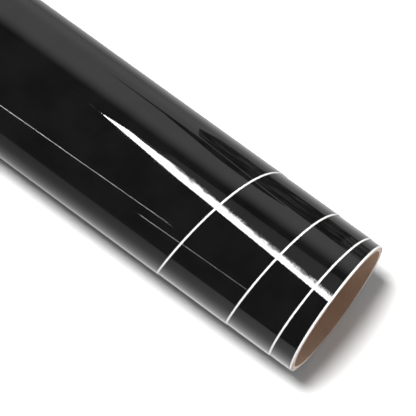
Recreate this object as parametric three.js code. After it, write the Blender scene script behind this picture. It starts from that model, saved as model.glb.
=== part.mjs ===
// Roll of gloss sign vinyl on a spiral-wound cardboard core.
//
// The web is one long strip of black PVC film on a white paper liner. It is wound outwards on the
// core and has telescoped: each outer turn sits further from the open end than the turn under it,
// so the white liner edge shows as one helix. The axis lies along X and the open end faces +X.
import * as THREE from "three";

// Core, millimetres and degrees.
const BORE_RADIUS = 38.1; // 3 inch bore
const CORE_LENGTH = 305;
const INNER_PLY = 0.35;
const BOARD = 1.58;
const OUTER_PLY = 0.33;
const GLUE_LINE = 0.02;
const PLY_TURNS = 3.25; // turns that one strip makes from end to end, a strip about 120 mm wide
const PLY_SEAM = 0.5;

// Web: liner inside, film outside.
const LINER = 0.16;
const FILM = 0.105;
const LAYER_GAP = 0.015;
const PITCH = 0.3; // radius gained per turn
const WEB_WIDTH = 305;
const FILM_INSET = 1.1; // the film is trimmed this much short of the liner edge
const START_TAPE = 0.08;
const START_TAPE_ANGLE = 22.5;

// Winding angles run from +Y through +Z, counter-clockwise seen from the open end.
const STEP = 11.25; // 32 facets, one of them flat on the floor
const FIRST_ANGLE = -343.125;
const TOP_SEAM = 95.625;
const HALF_TURN = 180;
const HALF_TURNS = 7;
const START_SPLIT = TOP_SEAM - 360;
const LAST_SEAM = TOP_SEAM + HALF_TURN * HALF_TURNS;
const TAIL_ROOT = LAST_SEAM + 2 * STEP;
const LIP_ROOT = TAIL_ROOT + 2 * STEP;
const LAST_ANGLE = LIP_ROOT + 2 * STEP;
const SEAM_GAP = 0.05; // degrees between one web segment and the next
const FOLD_GAP = 0.45; // degrees at the two places where the tail bends

// Telescoping: how far the web edge has moved from the open end after each turn. Each turn also leans.
const DRIFT_ZERO = 99.75;
const DRIFT = { linear: 4.78, square: 5.53, cube: 0.5178, lean: 1.2, leanAngle: -74.5 };

const kraft = new THREE.MeshStandardMaterial({ color: 0x7a5f4a, roughness: 0.85 });
const board = new THREE.MeshStandardMaterial({ color: 0xb9a898, roughness: 0.9 });
const tape = new THREE.MeshStandardMaterial({ color: 0xe8e4da, roughness: 0.5 });
const liner = new THREE.MeshStandardMaterial({ color: 0xf2f2ef, roughness: 0.55 });
const film = new THREE.MeshStandardMaterial({ color: 0x121212, roughness: 0.12 });

const toRadians = THREE.MathUtils.degToRad;
const CORNER_REACH = 1 / Math.cos(toRadians(STEP / 2)); // facets touch the true circle at their middles

function edgeDrift(angle) {
  const turns = Math.max(0, (angle - DRIFT_ZERO) / 360);
  const growth = ((DRIFT.cube * turns + DRIFT.square) * turns + DRIFT.linear) * turns;
  const leanStart = toRadians(DRIFT.leanAngle);
  const swing = Math.sin(2 * Math.PI * turns + leanStart) - Math.sin(leanStart);
  return growth - DRIFT.lean * swing;
}

// Angles of the sections between two ends, on one grid for every layer, so that layers nest.
function sectionAngles(from, to) {
  const angles = [from];
  const margin = STEP / 10;
  const first = Math.ceil((from + margin - STEP / 2) / STEP) * STEP + STEP / 2;
  for (let angle = first; angle < to - margin; angle += STEP) angles.push(angle);
  angles.push(to);
  return angles;
}

// A wound strip: at every angle its section is a rectangle from low to high along X and from
// inner to outer in radius.
function woundStrip(name, material, { from, to, inner, outer, low, high }) {
  const angles = sectionAngles(from, to);
  const positions = [];
  const indices = [];
  for (const angle of angles) {
    const turn = toRadians(angle);
    const corners = [
      [low(angle), inner(angle)],
      [high(angle), inner(angle)],
      [high(angle), outer(angle)],
      [low(angle), outer(angle)],
    ];
    for (const [x, radius] of corners) {
      const reach = radius * CORNER_REACH;
      positions.push(x, reach * Math.cos(turn), reach * Math.sin(turn));
    }
  }
  const quad = (a, b, c, d) => indices.push(a, b, c, a, c, d);
  for (let i = 0; i + 1 < angles.length; i += 1) {
    for (let side = 0; side < 4; side += 1) {
      const next = (side + 1) % 4;
      quad(4 * i + side, 4 * i + next, 4 * i + 4 + next, 4 * i + 4 + side);
    }
  }
  const last = 4 * (angles.length - 1);
  quad(3, 2, 1, 0);
  quad(last, last + 1, last + 2, last + 3);
  return namedMesh(name, closedGeometry(positions, indices), material);
}

function closedGeometry(positions, indices) {
  const geometry = new THREE.BufferGeometry();
  geometry.setAttribute("position", new THREE.Float32BufferAttribute(positions, 3));
  geometry.setIndex(indices);
  geometry.computeVertexNormals();
  return geometry;
}

function namedMesh(name, geometry, material) {
  const mesh = new THREE.Mesh(geometry, material);
  mesh.name = name;
  return mesh;
}

// A ply of the core: a strip wound in a helix and trimmed square at both ends of the core, one
// step short of the points where its width runs out.
function corePly(name, innerRadius, thickness, startAngle) {
  const lead = (CORE_LENGTH - PLY_SEAM) / (PLY_TURNS - 1);
  const strip = lead - PLY_SEAM;
  const left = (angle) => -CORE_LENGTH - strip + ((angle - startAngle) / 360) * lead;
  return woundStrip(name, kraft, {
    from: startAngle + STEP,
    to: startAngle + 360 * PLY_TURNS - STEP,
    inner: () => innerRadius,
    outer: () => innerRadius + thickness,
    low: (angle) => Math.max(left(angle), -CORE_LENGTH),
    high: (angle) => Math.min(left(angle) + strip, 0),
  });
}

// The board in the middle of the core wall, a plain tube.
function coreBoard(innerRadius, thickness) {
  const outline = [
    [innerRadius, -CORE_LENGTH],
    [innerRadius + thickness, -CORE_LENGTH],
    [innerRadius + thickness, 0],
    [innerRadius, 0],
  ];
  const profile = [...outline, outline[0]].map(
    ([radius, x]) => new THREE.Vector2(radius * CORNER_REACH, x),
  );
  const geometry = new THREE.LatheGeometry(profile, 360 / STEP);
  geometry.rotateZ(-Math.PI / 2);
  geometry.rotateX(toRadians(STEP / 2));
  return namedMesh("core_board", geometry, board);
}

const innerPlyRadius = BORE_RADIUS;
const boardRadius = innerPlyRadius + INNER_PLY + GLUE_LINE;
const outerPlyRadius = boardRadius + BOARD + GLUE_LINE;
const tapeRadius = outerPlyRadius + OUTER_PLY + GLUE_LINE;
const webRadius = tapeRadius + START_TAPE + GLUE_LINE;

function linerRadius(angle) {
  return webRadius + (PITCH * (angle - FIRST_ANGLE)) / 360;
}

function filmRadius(angle) {
  return linerRadius(angle) + LINER + LAYER_GAP;
}

function startTape() {
  return woundStrip("core_start_tape", tape, {
    from: FIRST_ANGLE,
    to: FIRST_ANGLE + START_TAPE_ANGLE,
    inner: () => tapeRadius,
    outer: () => tapeRadius + START_TAPE,
    low: () => -CORE_LENGTH,
    high: () => 0,
  });
}

function linerSegment(name, from, to) {
  return woundStrip(name, liner, {
    from,
    to,
    inner: linerRadius,
    outer: (angle) => linerRadius(angle) + LINER,
    low: (angle) => -edgeDrift(angle) - WEB_WIDTH,
    high: (angle) => -edgeDrift(angle),
  });
}

function filmSegment(name, from, to) {
  return woundStrip(name, film, {
    from,
    to,
    inner: filmRadius,
    outer: (angle) => filmRadius(angle) + FILM,
    low: (angle) => -edgeDrift(angle) - WEB_WIDTH + FILM_INSET,
    high: (angle) => -edgeDrift(angle) - FILM_INSET,
  });
}

function webSegment(name, from, to) {
  return [linerSegment(`liner_${name}`, from, to), filmSegment(`film_${name}`, from, to)];
}

function core() {
  return [
    corePly("core_inner_ply", innerPlyRadius, INNER_PLY, STEP / 2),
    coreBoard(boardRadius, BOARD),
    corePly("core_outer_ply", outerPlyRadius, OUTER_PLY, STEP / 2 + HALF_TURN),
    startTape(),
  ];
}

// The start of the web and its first turn lie flush with the core end and stay on it.
function flushTurns() {
  return [
    ...webSegment("start_strip", FIRST_ANGLE, START_SPLIT - SEAM_GAP),
    ...webSegment("flush_turn", START_SPLIT, TOP_SEAM - SEAM_GAP),
  ];
}

// The outer turns, cut at the top and the bottom of the roll, where one slide hands over to the next.
function telescopedTurns() {
  const segments = [];
  for (let i = 0; i < HALF_TURNS; i += 1) {
    const from = TOP_SEAM + HALF_TURN * i;
    segments.push(...webSegment(`half_turn_${i + 1}`, from, from + HALF_TURN - SEAM_GAP));
  }
  return segments;
}

// The free end of the web. The film's last strip is a lip that peels off the liner.
function tail() {
  return [
    ...webSegment("last_strip", LAST_SEAM, TAIL_ROOT - FOLD_GAP),
    linerSegment("liner_tail", TAIL_ROOT, LAST_ANGLE),
    filmSegment("film_tail", TAIL_ROOT, LIP_ROOT - FOLD_GAP),
    filmSegment("film_lip", LIP_ROOT, LAST_ANGLE),
  ];
}

const roll = new THREE.Group();
roll.add(...core(), ...flushTurns(), ...telescopedTurns(), ...tail());

// Stand the roll on Z = 0 with the middle of its bounding box over the origin.
const bounds = new THREE.Box3().setFromObject(roll);
const centre = bounds.getCenter(new THREE.Vector3());
roll.position.set(-centre.x, -centre.y, -bounds.min.z);

export default roll;
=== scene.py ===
"""Roll of gloss black sign vinyl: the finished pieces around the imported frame, and a small studio.

The web is a strip of film on a strip of liner, wound outwards on a cardboard core. Angles run from
+Y through +Z, counter-clockwise seen from the open end at +X, and the web winds outwards with them.
"""

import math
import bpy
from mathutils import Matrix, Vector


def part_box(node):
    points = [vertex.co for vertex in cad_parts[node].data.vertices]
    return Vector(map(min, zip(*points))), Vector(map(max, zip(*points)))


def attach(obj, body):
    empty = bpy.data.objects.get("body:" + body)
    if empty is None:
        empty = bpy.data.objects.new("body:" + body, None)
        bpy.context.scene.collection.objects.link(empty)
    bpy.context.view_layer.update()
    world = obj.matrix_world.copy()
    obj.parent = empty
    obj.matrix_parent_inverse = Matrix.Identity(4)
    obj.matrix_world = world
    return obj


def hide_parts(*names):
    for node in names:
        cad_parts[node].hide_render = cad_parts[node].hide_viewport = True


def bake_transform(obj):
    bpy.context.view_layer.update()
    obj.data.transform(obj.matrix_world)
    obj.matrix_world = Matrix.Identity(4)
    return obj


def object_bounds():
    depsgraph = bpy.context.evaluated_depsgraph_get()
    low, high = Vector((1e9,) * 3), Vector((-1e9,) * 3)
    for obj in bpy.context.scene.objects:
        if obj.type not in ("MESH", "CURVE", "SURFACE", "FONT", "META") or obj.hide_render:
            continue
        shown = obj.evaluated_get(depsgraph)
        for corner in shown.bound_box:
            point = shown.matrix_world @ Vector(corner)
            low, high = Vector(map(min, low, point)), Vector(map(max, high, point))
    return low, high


bl_info = {
    "name": "Sign Vinyl Roll",
    "version": (1, 0, 0),
    "blender": (4, 5, 0),
    "location": "View3D > Sidebar > Vinyl Roll",
    "description": "Builds a telescoped roll of sign vinyl, its core and a studio to show it in",
    "category": "Object",
}

import bmesh
import bpy
from mathutils import Vector

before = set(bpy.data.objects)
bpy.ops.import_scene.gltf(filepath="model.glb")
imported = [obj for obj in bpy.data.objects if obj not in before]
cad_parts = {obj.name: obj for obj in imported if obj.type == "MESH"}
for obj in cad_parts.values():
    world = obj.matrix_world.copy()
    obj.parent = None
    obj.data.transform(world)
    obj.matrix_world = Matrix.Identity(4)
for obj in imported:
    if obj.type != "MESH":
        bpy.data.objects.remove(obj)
CAD_LOW, CAD_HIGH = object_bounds()

MM = 0.001
TURN = 360.0
HALF_TURN = 180.0

BOARD_LOW, BOARD_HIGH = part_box("core_board")
SLEEVE_LOW, SLEEVE_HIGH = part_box("core_outer_ply")
TAPE_LOW, TAPE_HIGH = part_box("core_start_tape")

OPEN_END = BOARD_HIGH.x
CORE_LENGTH = BOARD_HIGH.x - BOARD_LOW.x
AXIS_Y = (BOARD_LOW.y + BOARD_HIGH.y) / 2
AXIS_Z = (BOARD_LOW.z + BOARD_HIGH.z) / 2
BOARD_OUTER = BOARD_HIGH.z - AXIS_Z
SLEEVE_OUTER = SLEEVE_HIGH.z - AXIS_Z
ROLL_TOP = CAD_HIGH.z

# The web's sections stand on one grid of angles, so that every turn nests in the next.
FACET = 11.25
FIRST_ANGLE = -343.125
TOP_SEAM = 95.625
HALF_TURNS = 7
START_SPLIT = TOP_SEAM - TURN
LAST_SEAM = TOP_SEAM + HALF_TURN * HALF_TURNS
TAIL_ROOT = LAST_SEAM + 2 * FACET
LIP_ROOT = TAIL_ROOT + 2 * FACET
LAST_ANGLE = LIP_ROOT + 2 * FACET

# How finely the wound sheets are divided, round the roll and along it.
WEB_ROWS_PER_FACET = 16
WEB_COLUMNS = 12
PLY_ROWS_PER_TURN = 96
PLY_COLUMNS = 6

# Edges sharper than this are shaded as edges.
SHARP_EDGE = math.radians(40)
# Each board ply starts this many degrees after the one inside it.
PLY_STAGGER = 77.0
# How far the wound web may be from where the frame has it.
FRAME_TOLERANCE = 0.3 * MM

# The studio's cards: heights above the floor, and places along Y, in metres.
STRIP_HEIGHT = 1.0
CEILING_HEIGHT = 1.02
DIM_BAND_DISTANCE = 0.23
TUBE_DISTANCE = -1.0
SWEEP_CARD_HALF_WIDTH = 1.5
# A ragged edge goes from bright to dim over twice this part of the card's width.
EDGE_SOFTNESS = 0.02

# The room's brightness to the camera, and in what the film mirrors.
ROOM_SEEN = 1.0
ROOM_MIRRORED = 0.09
WHITE = (1, 1, 1, 1)


# ---------------------------------------------------------------- colours and nodes


def linear(hex_colour):
    """An sRGB hex colour such as 0x7A5F4A as linear red, green and blue."""
    channels = [(hex_colour >> shift & 255) / 255 for shift in (16, 8, 0)]
    return tuple(
        c / 12.92 if c <= 0.04045 else ((c + 0.055) / 1.055) ** 2.4
        for c in channels
    )


def add_node(tree, kind, inputs=None, **settings):
    """Adds a node. The settings are its own, and inputs are values or the sockets that feed them."""
    made = tree.nodes.new(kind)
    for name, value in settings.items():
        setattr(made, name, value)
    for name, value in (inputs or {}).items():
        if isinstance(value, bpy.types.NodeSocket):
            tree.links.new(value, made.inputs[name])
        else:
            made.inputs[name].default_value = value
    return made


def new_material(name):
    """An empty material and its node tree."""
    material = bpy.data.materials.new(name)
    material.use_nodes = True
    material.node_tree.nodes.clear()
    return material, material.node_tree


def finish_surface(tree, inputs):
    """The Principled shader at the end of a material."""
    shader = add_node(tree, "ShaderNodeBsdfPrincipled", inputs)
    add_node(tree, "ShaderNodeOutputMaterial", {"Surface": shader.outputs["BSDF"]})


# ---------------------------------------------------------------- settings


class SIGNROLL_PG_core(bpy.types.PropertyGroup):
    """The spiral-wound cardboard core"""

    bore_radius: bpy.props.FloatProperty(
        name="Bore radius",
        description="Radius of the smooth bore, half of 3 inches",
        default=38.1 * MM,
        unit="LENGTH",
        precision=5,
    )
    skin_ply: bpy.props.FloatProperty(
        name="Inner ply",
        description="Thickness of the kraft strip that lines the bore",
        default=0.35 * MM,
        unit="LENGTH",
        precision=5,
    )
    outer_ply: bpy.props.FloatProperty(
        name="Outer ply",
        description="Thickness of the kraft strip round the outside of the core",
        default=0.33 * MM,
        unit="LENGTH",
        precision=5,
    )
    board_plies: bpy.props.IntProperty(
        name="Board plies",
        description="Number of chipboard strips in the middle of the wall",
        default=4,
    )
    glue_line: bpy.props.FloatProperty(
        name="Glue line",
        description="Gap between one ply and the next",
        default=0.02 * MM,
        unit="LENGTH",
        precision=6,
    )
    tape: bpy.props.FloatProperty(
        name="Start tape",
        description="Thickness of the tape that holds the start of the web",
        default=0.08 * MM,
        unit="LENGTH",
        precision=5,
    )
    ply_turns: bpy.props.FloatProperty(
        name="Turns of a ply",
        description="Turns that one strip makes from end to end of the core",
        default=3.25,
    )
    ply_seam: bpy.props.FloatProperty(
        name="Ply seam",
        description="Gap between one turn of a strip and the next",
        default=0.5 * MM,
        unit="LENGTH",
        precision=5,
    )
    kraft_colour: bpy.props.FloatVectorProperty(
        name="Kraft",
        description="Colour of the kraft paper",
        subtype="COLOR",
        size=3,
        default=linear(0xCEB098),
    )
    board_colour: bpy.props.FloatVectorProperty(
        name="Chipboard",
        description="Colour of the cut chipboard",
        subtype="COLOR",
        size=3,
        default=linear(0xDCC8C0),
    )


class SIGNROLL_PG_web(bpy.types.PropertyGroup):
    """The film and the liner, and how they are wound"""

    first_radius: bpy.props.FloatProperty(
        name="First radius",
        description="Radius of the liner's inner face where the web starts",
        default=40.52 * MM,
        unit="LENGTH",
        precision=5,
    )
    pitch: bpy.props.FloatProperty(
        name="Pitch",
        description="Radius gained with each turn",
        default=0.3 * MM,
        unit="LENGTH",
        precision=5,
    )
    liner: bpy.props.FloatProperty(
        name="Liner",
        description="Thickness of the paper liner",
        default=0.16 * MM,
        unit="LENGTH",
        precision=6,
    )
    film: bpy.props.FloatProperty(
        name="Film",
        description="Thickness of the film with its adhesive",
        default=0.105 * MM,
        unit="LENGTH",
        precision=6,
    )
    layer_gap: bpy.props.FloatProperty(
        name="Layer gap",
        description="Gap between the liner and the film on it",
        default=0.015 * MM,
        unit="LENGTH",
        precision=6,
    )
    width: bpy.props.FloatProperty(
        name="Web width",
        description="Width of the liner, 12 inches in the trade",
        default=305 * MM,
        unit="LENGTH",
        precision=5,
    )
    film_inset: bpy.props.FloatProperty(
        name="Film inset",
        description="How far the film stops short of the liner at each edge",
        default=1.1 * MM,
        unit="LENGTH",
        precision=5,
    )
    drift_zero: bpy.props.FloatProperty(
        name="Drift start",
        description="Winding angle, in degrees, where the web starts to leave the core end",
        default=99.75,
    )
    drift_linear: bpy.props.FloatProperty(
        name="Drift per turn",
        description="Telescoping: the part of the edge's drift that grows with the turns",
        default=4.78 * MM,
        unit="LENGTH",
        precision=5,
    )
    drift_square: bpy.props.FloatProperty(
        name="Drift per turn squared",
        description="Telescoping: the part that grows with their square",
        default=5.53 * MM,
        unit="LENGTH",
        precision=5,
    )
    drift_cube: bpy.props.FloatProperty(
        name="Drift per turn cubed",
        description="Telescoping: the part that grows with their cube",
        default=0.5178 * MM,
        unit="LENGTH",
        precision=5,
    )
    drift_lean: bpy.props.FloatProperty(
        name="Drift lean",
        description="Telescoping: how far the drift swings to and fro within each turn",
        default=1.2 * MM,
        unit="LENGTH",
        precision=5,
    )
    lean_angle: bpy.props.FloatProperty(
        name="Lean direction",
        description="Telescoping: where in a turn the drift's swing starts, in degrees",
        default=-74.5,
    )
    film_colour: bpy.props.FloatVectorProperty(
        name="Film colour",
        description="Colour of the vinyl",
        subtype="COLOR",
        size=3,
        default=linear(0x0C0C0D),
    )
    liner_colour: bpy.props.FloatVectorProperty(
        name="Liner colour",
        description="Colour of the coated paper",
        subtype="COLOR",
        size=3,
        default=linear(0xF4F3F0),
    )


class SIGNROLL_PG_studio(bpy.types.PropertyGroup):
    """The camera and the light"""

    azimuth: bpy.props.FloatProperty(
        name="Camera azimuth",
        description="Direction of the camera round the roll",
        subtype="ANGLE",
        default=math.radians(37.43),
    )
    elevation: bpy.props.FloatProperty(
        name="Camera elevation",
        description="Height of the camera above the horizon",
        subtype="ANGLE",
        default=math.radians(71.95),
    )
    distance: bpy.props.FloatProperty(
        name="Camera distance",
        description="Distance from the camera to the point it looks at",
        default=1.2600,
        unit="LENGTH",
    )
    lens: bpy.props.FloatProperty(
        name="Lens",
        description="Focal length of the camera, in millimetres",
        default=200,
        unit="CAMERA",
    )
    set_in: bpy.props.FloatProperty(
        name="Set in from the open end",
        description="How far from the open end the camera looks at the roll",
        default=0.08990,
        unit="LENGTH",
        precision=5,
    )
    set_across: bpy.props.FloatProperty(
        name="Set across",
        description="How far beside the axis the camera looks",
        default=0.00320,
        unit="LENGTH",
        precision=5,
    )
    key_strength: bpy.props.FloatProperty(
        name="Key light",
        description="Light that the overhead lamp throws on the floor, in watts per square metre",
        default=3.9,
    )
    strip_radiance: bpy.props.FloatProperty(
        name="Strip light",
        description="Brightness of the overhead strip where the film mirrors it",
        default=36,
    )
    floor_colour: bpy.props.FloatVectorProperty(
        name="Floor",
        description="Colour of the paper on the floor",
        subtype="COLOR",
        size=3,
        default=linear(0xF6F6F6),
    )


# ---------------------------------------------------------------- shapes


def on_roll(x, radius, angle):
    """The point at a distance along the roll, a radius and a winding angle in degrees."""
    turn = math.radians(angle)
    return Vector((x, AXIS_Y + radius * math.cos(turn), AXIS_Z + radius * math.sin(turn)))


def outwards(point):
    """The direction from the roll's axis to a point."""
    return Vector((0, point.y - AXIS_Y, point.z - AXIS_Z)).normalized()


def edge_drift(web, angle):
    """How far the web's edge has moved from the open end at a winding angle."""
    turns = max(0, (angle - web.drift_zero) / TURN)
    growth = ((web.drift_cube * turns + web.drift_square) * turns + web.drift_linear) * turns
    lean_start = math.radians(web.lean_angle)
    swing = math.sin(2 * math.pi * turns + lean_start) - math.sin(lean_start)
    return growth - web.drift_lean * swing


def liner_radius(web, angle):
    """Radius of the liner's inner face."""
    return web.first_radius + web.pitch * (angle - FIRST_ANGLE) / TURN


def film_radius(web, angle):
    """Radius of the film's inner face."""
    return liner_radius(web, angle) + web.liner + web.layer_gap


def wrapped_sheet(from_angle, to_angle, radius, low, high, rows, columns):
    """A flat grid wound round the axis, with a UV map of metres along and across the strip."""
    bm = bmesh.new()
    uv = bm.loops.layers.uv.new("web")
    bmesh.ops.create_grid(bm, x_segments=rows, y_segments=columns, size=0.5)
    flat = {}
    for vert in bm.verts:
        angle = from_angle + (vert.co.x + 0.5) * (to_angle - from_angle)
        across = vert.co.y + 0.5
        along = math.radians(angle) * radius(angle)
        flat[vert] = (along, across * (high(angle) - low(angle)))
        vert.co = on_roll(low(angle) + flat[vert][1], radius(angle), angle)
    for face in bm.faces:
        for loop in face.loops:
            loop[uv].uv = flat[loop.vert]
    return bm


def thicken(bm, thickness):
    """Gives a wound sheet its thickness outwards. The outer faces get material 1."""
    for face in bm.faces:
        face.normal_update()
    if sum(f.normal.dot(outwards(f.calc_center_median())) for f in bm.faces) < 0:
        bmesh.ops.reverse_faces(bm, faces=bm.faces[:])
    grown = bmesh.ops.extrude_face_region(bm, geom=bm.faces[:], use_keep_orig=True)["geom"]
    for vert in grown:
        if isinstance(vert, bmesh.types.BMVert):
            vert.co += outwards(vert.co) * thickness
    bmesh.ops.recalc_face_normals(bm, faces=bm.faces[:])
    for face in bm.faces:
        face.smooth = True
        if face.normal.dot(outwards(face.calc_center_median())) > 0.5:
            face.material_index = 1
    for edge in bm.edges:
        if edge.calc_face_angle(0) > SHARP_EDGE:
            edge.smooth = False


def round_normals(mesh):
    """Shades the wound faces as true rounds, so that no seam between two strips shows."""
    normals = []
    for face in mesh.polygons:
        radial = face.normal.dot(outwards(face.center))
        for index in face.loop_indices:
            point = mesh.vertices[mesh.loops[index].vertex_index].co
            if abs(radial) > 0.9:
                normals.append(outwards(point) * math.copysign(1, radial))
            else:
                normals.append(face.normal.copy())
    mesh.normals_split_custom_set(normals)


def new_piece(name, bm, *materials):
    """Makes a bmesh an object, with its place in its mesh."""
    mesh = bpy.data.meshes.new(name)
    bm.to_mesh(mesh)
    bm.free()
    for material in materials:
        mesh.materials.append(material)
    piece = bpy.data.objects.new(name, mesh)
    bpy.context.scene.collection.objects.link(piece)
    return piece


# ---------------------------------------------------------------- finishes


def kraft_paper(colour):
    """Kraft paper, smooth on the machine side: dull and brown, with long pulp fibres and blotches."""
    material, tree = new_material("kraft_paper")
    place = add_node(tree, "ShaderNodeTexCoord").outputs["Object"]
    # Fibres are about 2 mm long and lie along the strip. They are drawn 0.4 mm wide so that they show.
    stretch = add_node(tree, "ShaderNodeMapping", {"Vector": place, "Scale": (2500, 500, 500)})
    fibre = add_node(
        tree,
        "ShaderNodeTexNoise",
        {"Vector": stretch.outputs["Vector"], "Scale": 1.0, "Detail": 4.0, "Roughness": 0.6},
    )
    # The faint blotches are 10 mm across.
    cloud = add_node(tree, "ShaderNodeTexNoise", {"Vector": place, "Scale": 90.0, "Detail": 3.0})
    tone = add_node(
        tree,
        "ShaderNodeMix",
        {"Factor": 0.35, "A": fibre.outputs["Fac"], "B": cloud.outputs["Fac"]},
        data_type="FLOAT",
    )
    shade = add_node(
        tree,
        "ShaderNodeMapRange",
        {
            "Value": tone.outputs["Result"],
            "From Min": 0.3,
            "From Max": 0.7,
            "To Min": 0.82,
            "To Max": 1.12,
        },
    )
    tint = add_node(
        tree,
        "ShaderNodeMix",
        {"Factor": 1.0, "A": (*colour, 1), "B": shade.outputs["Result"]},
        data_type="RGBA",
        blend_type="MULTIPLY",
    )
    bump = add_node(
        tree,
        "ShaderNodeBump",
        {"Height": fibre.outputs["Fac"], "Strength": 0.6, "Distance": 0.04 * MM},
    )
    finish_surface(
        tree,
        {
            "Base Color": tint.outputs["Result"],
            "Roughness": 0.62,
            "IOR": 1.45,
            "Normal": bump.outputs["Normal"],
        },
    )
    return material


def chipboard(colour):
    """Grey-brown chipboard, cut with a knife: matt, loose fibres and specks of dark pulp."""
    material, tree = new_material("chipboard")
    place = add_node(tree, "ShaderNodeTexCoord").outputs["Object"]
    # Specks of recycled pulp are 0.2 to 0.5 mm across, and they gather in clouds of 6 mm.
    speck = add_node(
        tree,
        "ShaderNodeTexNoise",
        {"Vector": place, "Scale": 2600.0, "Detail": 3.0, "Roughness": 0.7},
    )
    cloud = add_node(tree, "ShaderNodeTexNoise", {"Vector": place, "Scale": 160.0, "Detail": 2.0})
    tone = add_node(
        tree,
        "ShaderNodeMix",
        {"Factor": 0.3, "A": speck.outputs["Fac"], "B": cloud.outputs["Fac"]},
        data_type="FLOAT",
    )
    shade = add_node(
        tree,
        "ShaderNodeMapRange",
        {
            "Value": tone.outputs["Result"],
            "From Min": 0.3,
            "From Max": 0.7,
            "To Min": 0.8,
            "To Max": 1.15,
        },
    )
    tint = add_node(
        tree,
        "ShaderNodeMix",
        {"Factor": 1.0, "A": (*colour, 1), "B": shade.outputs["Result"]},
        data_type="RGBA",
        blend_type="MULTIPLY",
    )
    bump = add_node(
        tree,
        "ShaderNodeBump",
        {"Height": speck.outputs["Fac"], "Strength": 0.8, "Distance": 0.08 * MM},
    )
    finish_surface(
        tree,
        {
            "Base Color": tint.outputs["Result"],
            "Roughness": 0.9,
            "IOR": 1.45,
            "Normal": bump.outputs["Normal"],
        },
    )
    return material


def tissue_tape():
    """Double-sided tissue tape: cream, slightly glossy with adhesive, fine crossed fibres."""
    material, tree = new_material("tissue_tape")
    place = add_node(tree, "ShaderNodeTexCoord").outputs["Object"]
    # The crossed fibres are 1 mm apart.
    fibre = add_node(
        tree,
        "ShaderNodeTexNoise",
        {"Vector": place, "Scale": 900.0, "Detail": 5.0, "Distortion": 0.8},
    )
    tint = add_node(
        tree,
        "ShaderNodeMix",
        {"Factor": fibre.outputs["Fac"], "A": (*linear(0xDAD4C4), 1), "B": (*linear(0xEFEADE), 1)},
        data_type="RGBA",
    )
    bump = add_node(
        tree,
        "ShaderNodeBump",
        {"Height": fibre.outputs["Fac"], "Strength": 0.4, "Distance": 0.02 * MM},
    )
    finish_surface(
        tree,
        {"Base Color": tint.outputs["Result"], "Roughness": 0.35, "Normal": bump.outputs["Normal"]},
    )
    return material


def coated_paper(name, colour, roughness):
    """White clay-coated paper: bright and even, with a soft formation cloud and a calendered tooth.

    The silicone side is glossier than the back.
    """
    material, tree = new_material(name)
    place = add_node(tree, "ShaderNodeUVMap", uv_map="web").outputs["UV"]
    # Formation, the cloudiness of paper held to light, has patches of about 6 mm.
    cloud = add_node(tree, "ShaderNodeTexNoise", {"Vector": place, "Scale": 170.0, "Detail": 3.0})
    tint = add_node(
        tree,
        "ShaderNodeMix",
        {
            "Factor": cloud.outputs["Fac"],
            "A": (*(0.965 * c for c in colour), 1),
            "B": (*colour, 1),
        },
        data_type="RGBA",
    )
    # The coating's tooth is 0.05 mm, drawn at 0.4 mm so that it shows.
    tooth = add_node(tree, "ShaderNodeTexNoise", {"Vector": place, "Scale": 2500.0, "Detail": 2.0})
    bump = add_node(
        tree,
        "ShaderNodeBump",
        {"Height": tooth.outputs["Fac"], "Strength": 0.3, "Distance": 0.01 * MM},
    )
    finish_surface(
        tree,
        {
            "Base Color": tint.outputs["Result"],
            "Roughness": roughness,
            "IOR": 1.5,
            "Normal": bump.outputs["Normal"],
        },
    )
    return material


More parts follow.
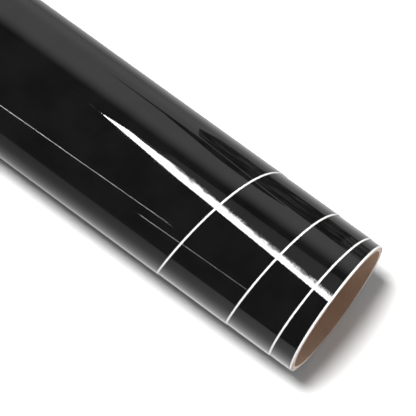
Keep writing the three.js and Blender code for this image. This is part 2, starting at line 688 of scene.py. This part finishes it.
def gloss_vinyl(colour):
    """Gloss black calendered PVC: deep black with mirror-like reflections.

    The surface has a slight orange peel and faint lines along the web from the calender rolls, and
    it is less even towards the open end, where the turns have slipped over each other.
    """
    material, tree = new_material("gloss_calendered_pvc")
    place = add_node(tree, "ShaderNodeUVMap", uv_map="web").outputs["UV"]
    along_roll = add_node(
        tree,
        "ShaderNodeSeparateXYZ",
        {"Vector": add_node(tree, "ShaderNodeTexCoord").outputs["Object"]},
    ).outputs["X"]
    unevenness = add_node(
        tree,
        "ShaderNodeMapRange",
        {"Value": along_roll, "From Min": 0.06, "From Max": 0.20, "To Min": 0.35, "To Max": 1.0},
        interpolation_type="SMOOTHSTEP",
    )
    # Orange peel is 1 to 2 mm from crest to crest.
    peel = add_node(
        tree,
        "ShaderNodeTexNoise",
        {"Vector": place, "Scale": 620.0, "Detail": 2.5, "Roughness": 0.55},
    )
    # Calender lines are 0.5 to 1 mm apart and run for a hand's breadth.
    lines_place = add_node(tree, "ShaderNodeMapping", {"Vector": place, "Scale": (18, 1100, 1)})
    lines = add_node(
        tree,
        "ShaderNodeTexNoise",
        {"Vector": lines_place.outputs["Vector"], "Scale": 1.0, "Detail": 2.0},
    )
    relief = add_node(
        tree,
        "ShaderNodeMath",
        {0: lines.outputs["Fac"], 1: 0.06, 2: peel.outputs["Fac"]},
        operation="MULTIPLY_ADD",
    )
    height = add_node(
        tree,
        "ShaderNodeMath",
        {0: relief.outputs["Value"], 1: unevenness.outputs["Result"]},
        operation="MULTIPLY",
    )
    bump = add_node(
        tree,
        "ShaderNodeBump",
        {"Height": height.outputs["Value"], "Strength": 1.0, "Distance": 0.008 * MM},
    )
    # Handling leaves faint patches about 20 mm across, some glossier and some with a haze.
    handling = add_node(tree, "ShaderNodeTexNoise", {"Vector": place, "Scale": 45.0, "Detail": 4.0})
    roughness = add_node(
        tree,
        "ShaderNodeMapRange",
        {
            "Value": handling.outputs["Fac"],
            "From Min": 0.4,
            "From Max": 0.75,
            "To Min": 0.02,
            "To Max": 0.055,
        },
    )
    haze = add_node(
        tree,
        "ShaderNodeMapRange",
        {
            "Value": handling.outputs["Fac"],
            "From Min": 0.35,
            "From Max": 0.65,
            "To Min": 0.7,
            "To Max": 1.4,
        },
    )
    tint = add_node(
        tree,
        "ShaderNodeMix",
        {"Factor": 1.0, "A": (*colour, 1), "B": haze.outputs["Result"]},
        data_type="RGBA",
        blend_type="MULTIPLY",
    )
    finish_surface(
        tree,
        {
            "Base Color": tint.outputs["Result"],
            "Roughness": roughness.outputs["Result"],
            "IOR": 1.53,
            "Normal": bump.outputs["Normal"],
        },
    )
    return material


def adhesive_side(colour):
    """Clear acrylic adhesive on the back of the black film: wet-looking, with the liner's print."""
    material, tree = new_material("acrylic_adhesive_on_film")
    place = add_node(tree, "ShaderNodeUVMap", uv_map="web").outputs["UV"]
    # The liner's print is 0.7 mm from dimple to dimple.
    print_through = add_node(
        tree, "ShaderNodeTexNoise", {"Vector": place, "Scale": 1400.0, "Detail": 3.0}
    )
    bump = add_node(
        tree,
        "ShaderNodeBump",
        {"Height": print_through.outputs["Fac"], "Strength": 0.7, "Distance": 0.02 * MM},
    )
    tint = add_node(
        tree,
        "ShaderNodeMix",
        {
            "Factor": print_through.outputs["Fac"],
            "A": (*(2.2 * c for c in colour), 1),
            "B": (*(4.0 * c for c in colour), 1),
        },
        data_type="RGBA",
    )
    finish_surface(
        tree,
        {
            "Base Color": tint.outputs["Result"],
            "Roughness": 0.28,
            "IOR": 1.47,
            "Normal": bump.outputs["Normal"],
        },
    )
    return material


# ---------------------------------------------------------------- the core


def core_ply(core, name, radius, thickness, start_angle, material):
    """One strip of the core, wound in a helix and cut square at both ends of the core."""
    lead = (CORE_LENGTH - core.ply_seam) / (core.ply_turns - 1)
    strip = lead - core.ply_seam
    far_end = OPEN_END - CORE_LENGTH

    def low(angle):
        return far_end - strip + (angle - start_angle) / TURN * lead

    bm = wrapped_sheet(
        start_angle,
        start_angle + TURN * core.ply_turns,
        lambda angle: radius,
        low,
        lambda angle: low(angle) + strip,
        rows=round(PLY_ROWS_PER_TURN * core.ply_turns),
        columns=PLY_COLUMNS,
    )
    for end, side in ((OPEN_END, 1), (far_end, -1)):
        bmesh.ops.bisect_plane(
            bm,
            geom=bm.verts[:] + bm.edges[:] + bm.faces[:],
            dist=1e-6,
            plane_co=(end, 0, 0),
            plane_no=(side, 0, 0),
            clear_outer=True,
        )
    thicken(bm, thickness)
    piece = new_piece(name, bm, material, material)
    round_normals(piece.data)
    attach(piece, "roll")
    return piece


class SIGNROLL_OT_core(bpy.types.Operator):
    """Build the core: a kraft strip in the bore, strips of chipboard, and a kraft strip outside"""

    bl_idname = "sign_roll.core"
    bl_label = "Core"

    def execute(self, context):
        core = context.scene.sign_roll_core
        kraft = kraft_paper(core.kraft_colour)
        board = chipboard(core.board_colour)
        inner = core_ply(core, "bore_ply", core.bore_radius, core.skin_ply, FACET / 2, kraft)
        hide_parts("core_inner_ply")
        room = BOARD_OUTER - (core.bore_radius + core.skin_ply + core.glue_line)
        pitch = (room + core.glue_line) / core.board_plies
        if pitch <= core.glue_line:
            raise ValueError("the core wall has no room for its board plies")
        for number in range(core.board_plies):
            radius = core.bore_radius + core.skin_ply + core.glue_line + number * pitch
            start = FACET / 2 + PLY_STAGGER * (number + 1)
            name = f"board_ply_{number + 1}"
            ply = core_ply(core, name, radius, pitch - core.glue_line, start, board)
            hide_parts("core_board")
        outer_radius = SLEEVE_OUTER - core.outer_ply
        start = FACET / 2 + HALF_TURN
        outer = core_ply(core, "outer_ply", outer_radius, core.outer_ply, start, kraft)
        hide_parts("core_outer_ply")
        return {"FINISHED"}


class SIGNROLL_OT_start_tape(bpy.types.Operator):
    """Build the strip of tape that holds the start of the web on the core"""

    bl_idname = "sign_roll.start_tape"
    bl_label = "Start Tape"

    def execute(self, context):
        core = context.scene.sign_roll_core
        inner = SLEEVE_OUTER + core.glue_line
        bm = wrapped_sheet(
            FIRST_ANGLE,
            FIRST_ANGLE + 2 * FACET,
            lambda angle: inner,
            lambda angle: TAPE_LOW.x,
            lambda angle: TAPE_HIGH.x,
            rows=32,
            columns=12,
        )
        thicken(bm, core.tape)
        tape = tissue_tape()
        piece = new_piece("start_tape", bm, tape, tape)
        round_normals(piece.data)
        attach(piece, "roll")
        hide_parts("core_start_tape")
        return {"FINISHED"}


# ---------------------------------------------------------------- the web


def liner_strip(web, name, from_angle, to_angle, materials):
    """A stretch of the liner, from one winding angle to another."""
    bm = wrapped_sheet(
        from_angle,
        to_angle,
        lambda angle: liner_radius(web, angle),
        lambda angle: OPEN_END - edge_drift(web, angle) - web.width,
        lambda angle: OPEN_END - edge_drift(web, angle),
        rows=round((to_angle - from_angle) / FACET * WEB_ROWS_PER_FACET),
        columns=WEB_COLUMNS,
    )
    thicken(bm, web.liner)
    piece = new_piece(name, bm, *materials)
    round_normals(piece.data)
    return piece


def film_strip(web, name, from_angle, to_angle, materials):
    """A stretch of the film. It stops short of the liner at both edges."""
    bm = wrapped_sheet(
        from_angle,
        to_angle,
        lambda angle: film_radius(web, angle),
        lambda angle: OPEN_END - edge_drift(web, angle) - web.width + web.film_inset,
        lambda angle: OPEN_END - edge_drift(web, angle) - web.film_inset,
        rows=round((to_angle - from_angle) / FACET * WEB_ROWS_PER_FACET),
        columns=WEB_COLUMNS,
    )
    thicken(bm, web.film)
    piece = new_piece(name, bm, *materials)
    round_normals(piece.data)
    return piece


LAYERS = {"liner": liner_strip, "film": film_strip}


def layer_materials(web, layer):
    """The inner face's material and the outer face's, shared by all strips of a layer."""
    if layer == "liner":
        return (
            coated_paper("liner_paper_back", web.liner_colour, 0.55),
            coated_paper("liner_silicone_face", web.liner_colour, 0.32),
        )
    return adhesive_side(web.film_colour), gloss_vinyl(web.film_colour)


def bend_between(piece):
    """Bakes a piece's transform into its mesh."""
    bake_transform(piece)


def wind_layer(web, layer):
    """Builds every strip of one layer of the web but its free end.

    A slipped half turn is two quarter turns, each with its transform baked into its mesh.
    """
    strip = LAYERS[layer]
    materials = layer_materials(web, layer)
    flush = {"start_strip": (FIRST_ANGLE, START_SPLIT), "flush_turn": (START_SPLIT, TOP_SEAM)}
    for part, (start, end) in flush.items():
        piece = strip(web, f"{layer}_of_{part}", start, end, materials)
        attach(piece, "roll")
        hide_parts(f"{layer}_{part}")
    for number in range(1, HALF_TURNS + 1):
        start = TOP_SEAM + HALF_TURN * (number - 1)
        middle = start + HALF_TURN / 2
        end = start + HALF_TURN
        first = strip(web, f"{layer}_slipped_half_{number}a", start, middle, materials)
        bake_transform(first)
        second = strip(web, f"{layer}_slipped_half_{number}b", middle, end, materials)
        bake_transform(second)
        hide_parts(f"{layer}_half_turn_{number}")
        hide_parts(f"{layer}_half_turn_{number}")
    return materials


def check_against_frame(web):
    """Raises an error where the wound web isn't where the frame has it."""
    low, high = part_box(f"liner_half_turn_{HALF_TURNS}")
    start, end = LAST_SEAM - HALF_TURN, LAST_SEAM
    edges = (OPEN_END - edge_drift(web, end) - web.width, OPEN_END - edge_drift(web, start))
    if max(abs(low.x - edges[0]), abs(high.x - edges[1])) > FRAME_TOLERANCE:
        raise ValueError("the web's drift doesn't match the packed frame")
    top = film_radius(web, LAST_SEAM) + web.film
    if abs(top - (ROLL_TOP - AXIS_Z)) > FRAME_TOLERANCE:
        raise ValueError("the web's radius doesn't match the packed frame")


class SIGNROLL_OT_liner(bpy.types.Operator):
    """Build the liner, with its free end"""

    bl_idname = "sign_roll.liner"
    bl_label = "Liner"

    def execute(self, context):
        web = context.scene.sign_roll_web
        check_against_frame(web)
        materials = wind_layer(web, "liner")
        tail = liner_strip(web, "liner_free_end", LAST_SEAM, LAST_ANGLE, materials)
        bend_between(tail)
        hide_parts("liner_last_strip", "liner_tail")
        return {"FINISHED"}


class SIGNROLL_OT_film(bpy.types.Operator):
    """Build the film, with its free end and the lip that peels off first"""

    bl_idname = "sign_roll.film"
    bl_label = "Film"

    def execute(self, context):
        web = context.scene.sign_roll_web
        check_against_frame(web)
        materials = wind_layer(web, "film")
        tail = film_strip(web, "film_free_end", LAST_SEAM, LIP_ROOT, materials)
        bend_between(tail)
        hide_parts("film_last_strip", "film_tail")
        lip = film_strip(web, "film_peeling_lip", LIP_ROOT, LAST_ANGLE, materials)
        bend_between(lip)
        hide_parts("film_lip")
        return {"FINISHED"}


# ---------------------------------------------------------------- the studio


def card(name, ribs, glow):
    """A card between two long edges. The film mirrors it, and nothing else sees it.

    A rib is a point of the near edge and a point of the far one, in metres. The UV map has metres
    along the near edge, and 0 to 1 from the near edge to the far one.
    """
    bm = bmesh.new()
    uv = bm.loops.layers.uv.new("card")
    rows = [[bm.verts.new(point) for point in rib] for rib in ribs]
    along = 0.0
    for (near, far), (next_near, next_far) in zip(rows, rows[1:]):
        face = bm.faces.new((near, next_near, next_far, far))
        reach = along + (next_near.co - near.co).length
        for loop, place in zip(face.loops, ((along, 0), (reach, 0), (reach, 1), (along, 1))):
            loop[uv].uv = place
        along = reach
    piece = new_piece(name, bm, glow)
    piece.visible_camera = False
    piece.visible_diffuse = False
    piece.visible_transmission = False
    piece.visible_volume_scatter = False
    piece.visible_shadow = False
    return piece


def card_places(tree):
    """The places along a card in metres and across it from 0 to 1, and the two together."""
    place = add_node(tree, "ShaderNodeUVMap", uv_map="card").outputs["UV"]
    split = add_node(tree, "ShaderNodeSeparateXYZ", {"Vector": place})
    return split.outputs["X"], split.outputs["Y"], place


def give_glow(tree, strength):
    """The emission at the end of a card's material."""
    light = add_node(tree, "ShaderNodeEmission", {"Color": WHITE, "Strength": strength})
    add_node(tree, "ShaderNodeOutputMaterial", {"Surface": light.outputs["Emission"]})


def faded_glow(name, near, far, fade=(0.0, 1.0), gain=((0.0, 1.0), (1.0, 1.0))):
    """A glow that fades from near to far between two places across the card.

    It is multiplied by a gain that goes from one level to another between two places along the card.
    """
    material, tree = new_material(name)
    along, across = card_places(tree)[:2]
    level = add_node(
        tree,
        "ShaderNodeMapRange",
        {"Value": across, "From Min": fade[0], "From Max": fade[1], "To Min": near, "To Max": far},
        interpolation_type="SMOOTHSTEP",
    )
    (low, low_gain), (high, high_gain) = gain
    slope = add_node(
        tree,
        "ShaderNodeMapRange",
        {
            "Value": along,
            "From Min": low,
            "From Max": high,
            "To Min": low_gain,
            "To Max": high_gain,
        },
    )
    strength = add_node(
        tree,
        "ShaderNodeMath",
        {0: level.outputs["Result"], 1: slope.outputs["Result"]},
        operation="MULTIPLY",
    )
    give_glow(tree, strength.outputs["Value"])
    return material


def ragged_glow(name, bright, dim, edge, teeth, raggedness, grows):
    """A bright glow with a ragged far edge, whose teeth grow between two places along the card.

    The edge is its place across the card, teeth are their number to the metre, and raggedness is
    how far they reach to each side of the edge, as a part of the card's width.
    """
    material, tree = new_material(name)
    along, across, place = card_places(tree)
    creases = add_node(tree, "ShaderNodeMapping", {"Vector": place, "Scale": (teeth, 1.2, 1)})
    noise = add_node(
        tree,
        "ShaderNodeTexNoise",
        {"Vector": creases.outputs["Vector"], "Scale": 1.0, "Detail": 5.0, "Roughness": 0.7},
    )
    tooth = add_node(
        tree,
        "ShaderNodeMapRange",
        {"Value": noise.outputs["Fac"], "From Min": 0.40, "From Max": 0.60, "To Min": -1.0},
    )
    size = add_node(
        tree,
        "ShaderNodeMapRange",
        {"Value": along, "From Min": grows[0], "From Max": grows[1], "To Max": raggedness},
    )
    moved = add_node(
        tree,
        "ShaderNodeMath",
        {0: tooth.outputs["Result"], 1: size.outputs["Result"], 2: across},
        operation="MULTIPLY_ADD",
    )
    level = add_node(
        tree,
        "ShaderNodeMapRange",
        {
            "Value": moved.outputs["Value"],
            "From Min": edge - EDGE_SOFTNESS,
            "From Max": edge + EDGE_SOFTNESS,
            "To Min": bright,
            "To Max": dim,
        },
    )
    give_glow(tree, level.outputs["Result"])
    return material


def mottled_glow(name, dark, light, patches):
    """A dim glow with lighter patches, as many to the metre as given."""
    material, tree = new_material(name)
    place = add_node(tree, "ShaderNodeTexCoord").outputs["Object"]
    noise = add_node(tree, "ShaderNodeTexNoise", {"Vector": place, "Scale": patches, "Detail": 4.0})
    level = add_node(
        tree,
        "ShaderNodeMapRange",
        {
            "Value": noise.outputs["Fac"],
            "From Min": 0.45,
            "From Max": 0.7,
            "To Min": dark,
            "To Max": light,
        },
    )
    give_glow(tree, level.outputs["Result"])
    return material


def at_height(height, ribs):
    """Ribs of a level card, from the x and y of their points."""
    return [[(x, y, height) for x, y in rib] for rib in ribs]


def upright(distance, ribs):
    """Ribs of a card that stands across the view, from the x and z of their points."""
    return [[(x, distance, z) for x, z in rib] for rib in ribs]


def add_overhead_cards(studio):
    """The overhead strip, cut off sharply on one side and ragged on the other, and a glowing card
    painted as the lit ceiling.
    """
    strip = [
        ((-0.189, 0.236), (-0.190, 0.250)),
        ((-0.136, 0.139), (-0.147, 0.338)),
        ((-0.088, 0.041), (-0.099, 0.319)),
        ((-0.052, -0.002), (-0.058, 0.229)),
        ((0.007, -0.085), (0.007, 0.124)),
        ((0.100, -0.228), (0.102, -0.010)),
    ]
    strip_glow = ragged_glow(
        "strip_glow",
        bright=studio.strip_radiance,
        dim=0.5,
        edge=0.66,
        teeth=150.0,
        raggedness=0.34,
        grows=(0.10, 0.30),
    )
    card("strip_light", at_height(STRIP_HEIGHT, strip), strip_glow)
    # Painted reflection: a glowing card stands in for the lit ceiling, dimming from 0.5 to 0.42 across
    # it, and only the film mirrors it.
    ceiling = [((-0.13, 0.20), (-0.13, 0.45)), ((0.25, -0.40), (0.25, 0.45))]
    ceiling_glow = faded_glow("ceiling_glow", 0.5, 0.42)
    card("lit_ceiling", at_height(CEILING_HEIGHT, ceiling), ceiling_glow)


def add_sweep_glow_cards():
    """Painted reflection of a white paper sweep: glowing cards that light nothing and that only the
    film mirrors, behind the roll, up the wall, and in front, beyond which the film mirrors the dark
    room.
    """
    # Painted light and shade of the paper as the film mirrors it: brighter behind the roll near it and
    # towards the open end, brighter up the low wall, fading out up the high wall.
    # A card has its near and far edges as y and z, and what its glow is made with.
    sweep = {
        "sweep_card_behind": (
            ((0.04, 0.0), (0.22, 0.0)),
            {"near": 0.90, "far": 0.58, "fade": (0.2, 0.8), "gain": ((1.50, 0.74), (1.68, 1.0))},
        ),
        "sweep_card_far": (
            ((0.22, 0.0), (1.0, 0.0)),
            {"near": 0.58, "far": 0.72, "fade": (0.0, 0.4)},
        ),
        "sweep_card_wall_low": (
            ((1.0, 0.0), (1.0, 0.75)),
            {"near": 0.72, "far": 0.97},
        ),
        "sweep_card_wall_high": (
            ((1.0, 0.75), (1.0, 1.9)),
            {"near": 0.97, "far": 0.08, "fade": (0.0, 0.75)},
        ),
        # Painted shade: the floor in front is mirrored dimmer than it is, and brighter next to the
        # roll and towards the open end.
        "sweep_card_front": (
            ((-0.229, 0.0), (-0.03, 0.0)),
            {"near": 0.42, "far": 0.85, "fade": (0.55, 0.92), "gain": ((1.52, 0.8), (1.70, 1.5))},
        ),
    }
    for name, (edges, glow) in sweep.items():
        ribs = [[(x, *edge) for edge in edges] for x in (-SWEEP_CARD_HALF_WIDTH, SWEEP_CARD_HALF_WIDTH)]
        card(name, ribs, faded_glow(f"{name}_glow", **glow))


def add_dark_cards():
    """Painted reflection: dim glowing cards upright behind the open end, which only the film mirrors,
    put a dark band with lighter patches in it.
    """
    # The lighter patches are 11 to 17 mm apart.
    parts = {
        "dim_band_card": (
            [
                ((0.052, 0.040), (0.055, 0.100)),
                ((0.070, -0.008), (0.075, 0.113)),
                ((0.150, -0.002), (0.124, 0.143)),
                ((0.170, 0.004), (0.165, 0.151)),
            ],
            {"dark": 0.05, "light": 0.30, "patches": 60.0},
        ),
        "dim_band_card_side": (
            [
                ((0.170, 0.004), (0.165, 0.151)),
                ((0.215, 0.012), (0.215, 0.140)),
            ],
            {"dark": 0.16, "light": 0.62, "patches": 90.0},
        ),
        "dim_band_card_upper": (
            [
                ((-0.020, 0.109), (-0.020, 0.110)),
                ((0.028, 0.107), (0.028, 0.122)),
                ((0.062, 0.111), (0.072, 0.166)),
                ((0.112, 0.145), (0.100, 0.172)),
                ((0.124, 0.152), (0.124, 0.155)),
            ],
            {"dark": 0.06, "light": 0.22, "patches": 60.0},
        ),
    }
    for name, (ribs, glow) in parts.items():
        card(name, upright(DIM_BAND_DISTANCE, ribs), mottled_glow(f"{name}_glow", **glow))


def add_tube_cards():
    """Two thin tubes in front of the roll, broken up towards their ends."""
    # A tube has the x and z of its ends, its glow, and how much of it is whole.
    tubes = {
        "thin_tube_long": ((-0.600, 0.284), (-0.115, 0.649), 34.0, 0.44),
        "thin_tube_short": ((-0.114, 0.316), (0.010, 0.400), 12.0, 0.0),
    }
    half_widths = (0.006, 0.003)
    for name, (start, end, bright, whole) in tubes.items():
        ribs = [((x, z - half), (x, z + half)) for (x, z), half in zip((start, end), half_widths)]
        glow = ragged_glow(
            f"{name}_glow",
            bright=bright,
            dim=0.1,
            edge=1.0,
            teeth=110.0,
            raggedness=1.6,
            grows=(whole, whole + 0.3),
        )
        card(name, upright(TUBE_DISTANCE, ribs), glow)


def add_cards(studio):
    """What the film mirrors."""
    add_overhead_cards(studio)
    add_sweep_glow_cards()
    add_dark_cards()
    add_tube_cards()


def add_floor(studio):
    """A plain pale floor of matt paper."""
    bm = bmesh.new()
    bmesh.ops.create_grid(bm, x_segments=8, y_segments=8, size=20)
    material, tree = new_material("matt_white_paper_floor")
    place = add_node(tree, "ShaderNodeTexCoord").outputs["Object"]
    # The paper's grain is 1 mm.
    grain = add_node(tree, "ShaderNodeTexNoise", {"Vector": place, "Scale": 1000.0, "Detail": 3.0})
    tint = add_node(
        tree,
        "ShaderNodeMix",
        {
            "Factor": grain.outputs["Fac"],
            "A": (*(0.985 * c for c in studio.floor_colour), 1),
            "B": (*studio.floor_colour, 1),
        },
        data_type="RGBA",
    )
    finish_surface(tree, {"Base Color": tint.outputs["Result"], "Roughness": 0.9})
    floor = new_piece("floor", bm, material)
    floor.visible_glossy = False


def add_lights(studio):
    """A soft lamp overhead, and a room that is pale to look at and dark to mirror."""
    lamp = bpy.data.lights.new("overhead_lamp", "SUN")
    lamp.energy = studio.key_strength
    lamp.angle = math.radians(14)
    key = bpy.data.objects.new("overhead_lamp", lamp)
    key.rotation_euler = Vector((-0.20, -0.07, 1.0)).to_track_quat("Z", "Y").to_euler()
    key.visible_glossy = False
    bpy.context.scene.collection.objects.link(key)
    world = bpy.data.worlds.new("studio_room")
    world.use_nodes = True
    tree = world.node_tree
    tree.nodes.clear()
    rays = add_node(tree, "ShaderNodeLightPath")
    # The room is brighter on the side of the paper wall.
    side = add_node(
        tree,
        "ShaderNodeSeparateXYZ",
        {"Vector": add_node(tree, "ShaderNodeTexCoord").outputs["Generated"]},
    ).outputs["Y"]
    lit = add_node(
        tree,
        "ShaderNodeMapRange",
        {"Value": side, "From Min": -1.0, "To Min": 0.13, "To Max": 0.36},
    )
    lit_or_mirrored = add_node(
        tree,
        "ShaderNodeMix",
        {"Factor": rays.outputs["Is Glossy Ray"], "A": lit.outputs["Result"], "B": ROOM_MIRRORED},
        data_type="FLOAT",
    )
    seen = add_node(
        tree,
        "ShaderNodeMix",
        {
            "Factor": rays.outputs["Is Camera Ray"],
            "A": lit_or_mirrored.outputs["Result"],
            "B": ROOM_SEEN,
        },
        data_type="FLOAT",
    )
    room = add_node(
        tree,
        "ShaderNodeBackground",
        {"Color": WHITE, "Strength": seen.outputs["Result"]},
    )
    add_node(tree, "ShaderNodeOutputWorld", {"Surface": room.outputs["Background"]})
    bpy.context.scene.world = world


def add_camera(studio):
    """The camera, high over the front of the roll's open end."""
    target = Vector((OPEN_END - studio.set_in, AXIS_Y + studio.set_across, AXIS_Z))
    level = math.cos(studio.elevation)
    back = Vector(
        (
            math.sin(studio.azimuth) * level,
            -math.cos(studio.azimuth) * level,
            math.sin(studio.elevation),
        )
    )
    lens = bpy.data.cameras.new("camera")
    lens.lens = studio.lens
    lens.sensor_width = 36
    lens.clip_start = 0.05
    lens.clip_end = 100
    camera = bpy.data.objects.new("camera", lens)
    camera.location = target + back * studio.distance
    camera.rotation_euler = back.to_track_quat("Z", "Y").to_euler()
    bpy.context.scene.collection.objects.link(camera)
    bpy.context.scene.camera = camera


class SIGNROLL_OT_studio(bpy.types.Operator):
    """Build the floor, the light, what the film mirrors, and the camera"""

    bl_idname = "sign_roll.studio"
    bl_label = "Studio"

    def execute(self, context):
        studio = context.scene.sign_roll_studio
        add_camera(studio)
        add_floor(studio)
        add_lights(studio)
        add_cards(studio)
        context.scene.view_settings.view_transform = "Standard"
        return {"FINISHED"}


class SIGNROLL_PT_panel(bpy.types.Panel):
    """Lists the pieces of the roll and its studio"""

    bl_idname = "SIGNROLL_PT_panel"
    bl_label = "Vinyl Roll"
    bl_space_type = "VIEW_3D"
    bl_region_type = "UI"
    bl_category = "Vinyl Roll"

    def draw(self, context):
        for operator in OPERATORS:
            self.layout.operator(operator.bl_idname)


OPERATORS = (
    SIGNROLL_OT_studio,
    SIGNROLL_OT_core,
    SIGNROLL_OT_start_tape,
    SIGNROLL_OT_liner,
    SIGNROLL_OT_film,
)
GROUPS = {
    "sign_roll_core": SIGNROLL_PG_core,
    "sign_roll_web": SIGNROLL_PG_web,
    "sign_roll_studio": SIGNROLL_PG_studio,
}


def register():
    for name, group in GROUPS.items():
        bpy.utils.register_class(group)
        setattr(bpy.types.Scene, name, bpy.props.PointerProperty(type=group))
    for operator in OPERATORS:
        bpy.utils.register_class(operator)
    bpy.utils.register_class(SIGNROLL_PT_panel)


def unregister():
    bpy.utils.unregister_class(SIGNROLL_PT_panel)
    for operator in reversed(OPERATORS):
        bpy.utils.unregister_class(operator)
    for name, group in GROUPS.items():
        delattr(bpy.types.Scene, name)
        bpy.utils.unregister_class(group)


def main():
    register()
    bpy.ops.sign_roll.studio()
    bpy.ops.sign_roll.core()
    bpy.ops.sign_roll.start_tape()
    bpy.ops.sign_roll.liner()
    bpy.ops.sign_roll.film()


if __name__ == "__main__":
    main()
